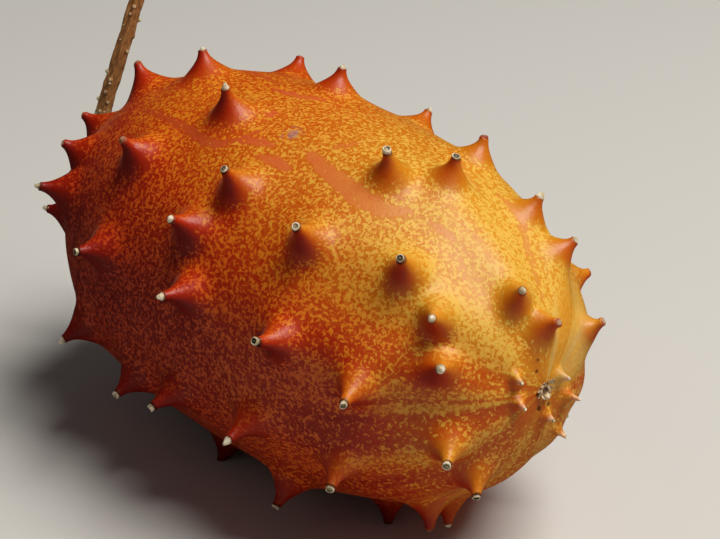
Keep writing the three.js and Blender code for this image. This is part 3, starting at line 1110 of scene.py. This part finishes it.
def paintSkin(place):
    climb, aside, full, kind, bare = [
        place.attribute(name) for name in ("climb", "aside", "full", "kind", "bare")]
    broad = place.grains(rind["broad"], 2.0) - 0.5
    wisps = place.grains(rind["wisps"], 2.0) - 0.5

    def toned(wire, name):
        return wire.ramp(rind["tones"], rind[name])

    def wound(fineness):
        around, lengthwise = fineness
        return place.vector(aroundY * around, aroundZ * around, along * lengthwise + broad)

    # distance to a place on the skin, in sizes of what lies there
    def gap(spot, size):
        spot = tuple(float(c) for c in inScene(spot))
        return place.vectors("DISTANCE", place, spot).other("Value") / (size * mm)

    # the way round the axis, which moves over to the scar at the blossom end
    x, y, z = (place - tuple(c * mm for c in body["centre"])).parts()
    along = (x / mm + body["stemHalf"]) / (body["stemHalf"] + body["blossomHalf"])
    sunY, sunZ = sin(rind["sunTurn"]), cos(rind["sunTurn"])
    # painted light and shade by height: lighter and yellower towards the upper side, redder below, partly as
    # ripening
    lift = ((z * sunZ + y * sunY) / (body["girth"] * mm)).smooth(*rind["heights"])
    _, scarY, scarZ = scarPlace() * mm
    polewards = along.smooth(0.8, 1.0)
    y, z = y - polewards * scarY, z - polewards * scarZ
    away = place.maths("SQRT", y * y + z * z).atLeast(0.4 * mm)
    aroundY, aroundZ = y / away, z / away

    # how ripe the skin is: by station and by height, but by turn at the blossom end, and even round the scar;
    # the part by height and turn is partly painted light on the upper side and painted shade on the lower
    # side
    turned = (aroundZ * sunZ + aroundY * sunY).smooth(*rind["heights"])
    lift = lift + (turned - lift) * along.smooth(0.74, 0.96)
    lift = lift + (rind["leastLift"] - lift).atLeast(0) * along.smooth(0.78, 0.95)
    byStation, byHeight, start = rind["ripeningAndShade"]
    tone = along * byStation + lift * byHeight + start + broad * 0.3
    # painted light and shade on the horns' flanks: a little riper on the lit flank, much redder on the shaded
    # one
    tone = tone + aside * 0.08 - (-aside).atLeast(0) * 0.16
    toneReach, plainReach = rind["poleReach"]
    nearPole = along.smooth(0.7, 0.8)
    pole = (toneReach - away / mm + broad * 6.0).smooth(-4.0, 5.0) * nearPole
    tone = tone + (rind["poleTone"] - tone) * pole * 0.75
    tone = (tone + along.smooth(0.45, 0.9) * 0.09) * rind["strength"]

    # bands that run to the scar, seen only towards the blossom end
    turn = place.maths("ARCTAN2", -y, z) / wholeTurn + broad * 0.02 + wisps * 0.012
    banding = [(degrees / 360 + 0.5, (level + 1) / 2) for degrees, level in rind["bands"]]
    blossomwards = along.smooth(0.66, 0.86)
    bands = ((turn + 0.5).curve(banding) * 2 - 1) * blossomwards
    bands = bands + (wound(rind["bandFineness"]).grains(1.0, 2.0) - 0.5) * blossomwards * 1.6

    # how thickly the flecks lie: thinly on the horns, round the scar and not at all in the streaks
    spread = along * (rind["spread"][1] - rind["spread"][0]) + rind["spread"][0]
    streak = (bare + wisps * 0.5).smooth(0.4, 0.62)
    hornward = (climb * full + wisps * 0.14 + 0.02).smooth(0.03, 0.32)
    poleward = (plainReach - away / mm + broad * 6.0).smooth(-2.0, 2.0) * nearPole
    clusters = (place.grains(rind["clusters"]) - 0.5) * (0.85 - along.smooth(0.15, 0.6) * 0.5)
    patches = (place.grains(rind["patches"]) - 0.5) * (1 - along.smooth(0.1, 0.6)) * 1.2
    # the flank painted in shade loses its flecks, the flank painted lit keeps more of them
    plainness = hornward * (0.72 - aside * 0.5)
    cover = spread + clusters + patches + bands * 0.48
    cover = cover - streak * 0.9 - plainness - poleward * 0.6 + aside * 0.2
    worms = place.grains(rind["flecking"], Roughness=0.4, Distortion=0.6) * 0.82
    worms = worms + place.grains(rind["flecking"] * 2.0) * 0.18
    fleck = (worms + cover * 0.22).smooth(*rind["fleckEdge"])

    grain = (place.grains(rind["grain"]) - 0.5) * 0.5
    ground = toned(tone + grain * 0.44 + bands * 0.14, "ground")
    flecks = toned(tone + grain * 0.52 + (worms - 0.5) * 0.6 + bands * 0.06, "flecks")
    ground = (streak * 0.9).mix(ground, toned(tone + grain * 0.2, "bare"))
    skin = fleck.mix(ground, flecks)

    # pale rays that gather at the blossom pole on one side, and dried specks
    sunned = (aroundZ * cos(rind["raySide"]) - aroundY * sin(rind["raySide"])).atLeast(0) ** 3
    rayEnd = sunned * rind["rayReach"][1] + rind["rayReach"][0] + broad * 8.0 + wisps * 4.0
    rays = wound(rind["rayFineness"]).grains(1.0, 2.0, Roughness=0.45) * 0.8 + sunned * 0.2
    rays = rays.ramp(*rind["rays"])
    skin = ((rayEnd - away / mm).smooth(-3.5, 3.5) * nearPole * 0.8).mix(skin, rays)
    near = None
    for scabTurn, distance, size in rind["scabs"]:
        speck = gap(nearScar(scabTurn, distance), size)
        near = near.atMost(speck) if near else speck
    skin = ((near + wisps * 2.4).smooth(1.3, 0.5) * 0.85).mix(skin, colour(rind["scab"]))

    # horns: the skin's own orange on their feet, redder upwards, with painted shade on one flank and painted
    # light on the other, and a dark ring under the cork that is painted shade and dried skin
    upwards = climb * full + wisps * 0.1
    flank = tone.atMost(0.86) + aside * 0.21 - 0.09 + along.smooth(0.5, 0.85) * 0.06
    skin = (upwards.smooth(0.03, 0.34) * (0.65 - aside * 0.35)).mix(skin, toned(flank, "ground"))
    skin = (upwards.smooth(0.12, 0.8) * (0.76 - aside * 0.22)).mix(skin, toned(flank, "horns"))
    skin = ((climb * (1 - full)).smooth(0.35, 0.85) * 0.7).mix(skin, colour(rind["paleTip"]))
    # a dark ring under the cork: painted shade under its overhang, and dried skin
    collar = (climb * full + wisps * 0.05).smooth(0.8, 0.89) * (0.7 - kind * 0.35).atLeast(0)
    skin = collar.mix(skin, colour(rind["collar"]))

    station, turn, size = rind["bruiseAt"]
    spot = bodyPoint(station / bySide(station, "Half"), radians(turn), ribbed=False)
    bruised = (1 - (gap(spot, size) + wisps * 2.4)).smooth(0.0, 0.8) * 0.6
    glow, reds, depth = rind["glow"]
    return {
        "Base Color": bruised.mix(skin, colour(rind["bruise"])),
        "Roughness": 0.42 - hornward * 0.03 + fleck * 0.05,
        "Normal": (place.grains(rind["dents"], 2.0) + fleck * 0.3).dents(0.35, 0.2 * mm),
        "Specular IOR Level": 0.36,
        "Sheen Weight": 0.08, "Sheen Roughness": 0.3, "Sheen Tint": colour(rind["sheen"]),
        "Subsurface Weight": glow, "Subsurface Radius": reds, "Subsurface Scale": depth * mm,
    }


def paintCork(place):
    pit, whim, kind = [place.attribute(name) for name in ("pit", "whim", "kind")]
    grain = place.grains(2600.0, 3.0)
    blotch = place.grains(800.0) - 0.5
    worn = kind.smooth(1.2, 1.8)
    capped = kind.smooth(0.4, 0.6) * (1 - worn)
    # painted shade: darker at the cork's foot and in its hollow, lighter on its top
    depth = pit * (0.55 + whim * 0.5) + (grain - 0.5) * 0.8 + blotch * 1.1 + whim * 0.16
    shade = (depth - capped * 0.06 + 0.03).ramp(*cork["shades"])
    shade = (worn * (0.32 + pit * 0.75)).clamp().mix(shade, colour(cork["wornColour"]))
    return {"Base Color": shade, "Roughness": 0.75, "Normal": grain.dents(0.5, 0.2 * mm)}


def paintStem(place):
    grain = place.attribute("grain", "Vector")
    x, y, along = grain.parts()
    around, lengthwise = stem["fibreScale"]
    fibre = grain.vector(x * around, y * around, along * lengthwise).grains(1.0, 5.0, Roughness=0.6)
    brown = fibre.ramp(*stem["fibres"])
    greener = ((stem["paleTo"] - along) + (fibre - 0.5) * 0.12).smooth(0.0, 0.06)
    bumped = place.attribute("bump").smooth(0.2, 0.8) * 0.7
    shade = bumped.mix(greener.mix(brown, colour(stem["paleColour"])), colour(stem["bumpColour"]))
    return {"Base Color": shade, "Roughness": 0.75, "Normal": fibre.dents(0.4, 0.3 * mm)}


def paintScar(place):
    # painted shade from the crust's hollow and the petals' roots, with grain
    shade = place.attribute("pit") * 0.7 + (place.grains(1500.0, 3.0) - 0.5) * 1.1 + 0.1
    return {"Base Color": shade.ramp(*scar["shades"]), "Roughness": 0.85}


# Camera at the photograph's viewing angle, in degrees and millimetres
view = {
    "azimuth": 50.64,
    "elevation": 25.54,
    "distance": 390.0,
    "aimRight": 10.3,
    "aimUp": 1.0,
    "lens": 104.3,
    "sensor": 36,
}


def makeCamera():
    azimuth, elevation = radians(view["azimuth"]), radians(view["elevation"])
    level = cos(elevation)
    back = Vector((sin(azimuth) * level, -cos(azimuth) * level, sin(elevation)))
    right = Vector((cos(azimuth), sin(azimuth), 0))
    up = back.cross(right)
    place = back * view["distance"]
    lookBack = (place - (right * view["aimRight"] + up * view["aimUp"])).normalized()
    lookRight = up.cross(lookBack).normalized()
    lens = bpy.data.cameras.new("photo_view")
    lens.lens = view["lens"]
    lens.sensor_width = view["sensor"]
    lens.clip_start = 0.01
    camera = bpy.data.objects.new("photo_view", lens)
    camera.matrix_world = Matrix((lookRight, lookBack.cross(lookRight), lookBack)).transposed().to_4x4()
    camera.location = (Vector(body["centre"]) + place) * mm
    bpy.context.scene.collection.objects.link(camera)
    bpy.context.scene.camera = camera
    return right, up, back


# Soft light from the upper right, as in the photograph. Only the key light shines in what is glossy, because
# the pale floor and surroundings would wash out the skin's deep colour
studio = {
    # each lamp's way there in the camera's right, up and back, its distance, width, watts, colour, and gloss
    "lamps": {
        "key": ((0.38, 0.76, 0.53), 1.1, 0.62, 14.8, (1.0, 0.97, 0.92), True),
        "fill": ((-0.7, 0.35, 0.6), 1.2, 0.9, 0.3, (1.0, 0.96, 0.92), False),
    },
    "surroundings": ((0.97, 0.98, 1.0, 1.0), 0.055),
    "floorHalf": 3.0,
    "floorColour": "ceccc7",
    "floorRoughness": 0.85,
}


def makeStudio():
    right, up, back = makeCamera()
    for name, (way, distance, width, watts, tint, glossy) in studio["lamps"].items():
        lamp = bpy.data.lights.new(name, "AREA")
        lamp.size, lamp.energy, lamp.color = width, watts, tint
        made = bpy.data.objects.new(name, lamp)
        made.visible_glossy = glossy
        place = (way[0] * right + way[1] * up + way[2] * back) * distance
        made.location = Vector(body["centre"]) * mm + place
        made.rotation_euler = place.to_track_quat("Z", "Y").to_euler()
        bpy.context.scene.collection.objects.link(made)
    world = bpy.data.worlds.new("studio")
    world.use_nodes = True
    setInputs(world.node_tree.nodes["Background"], dict(enumerate(studio["surroundings"])))
    world.cycles_visibility.glossy = False
    bpy.context.scene.world = world
    bpy.context.scene.view_settings.view_transform = "Standard"
    half = studio["floorHalf"]
    corners = [(-half, -half, 0), (half, -half, 0), (half, half, 0), (-half, half, 0)]
    floor = newObject("floor", corners, [(0, 1, 2, 3)])
    plain = {"Base Color": colour(studio["floorColour"]), "Roughness": studio["floorRoughness"]}
    floor.data.materials.append(makeFinish("pale_floor", lambda place: plain))
    floor.visible_glossy = False


makeStudio()
print("studio ready")
placed = placeHorns()
points = hornPoints(placed)
skin = makeSkin(placed, points, makeFinish("rind_finish", paintSkin))
print("skin grown:", len(skin.data.polygons), "faces")
tips = makeTips(points, makeFinish("cork_finish", paintCork))
print("tips set:", len(tips.data.polygons), "faces")
remove(points)
stalk = makeStem(makeFinish("stem_finish", paintStem))
print("stem made:", len(stalk.data.polygons), "faces")
crust = makeScar(makeFinish("scar_finish", paintScar))
print("scar made:", len(crust.data.polygons), "faces")
pieces = (
    (skin, "rind", "fruit"), (tips, "rind", None), (stalk, "stem", "stem"), (crust, "scar", "blossom_scar"))
for piece, slot, node in pieces:
    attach(piece, "root")
    if node:
        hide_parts(node)
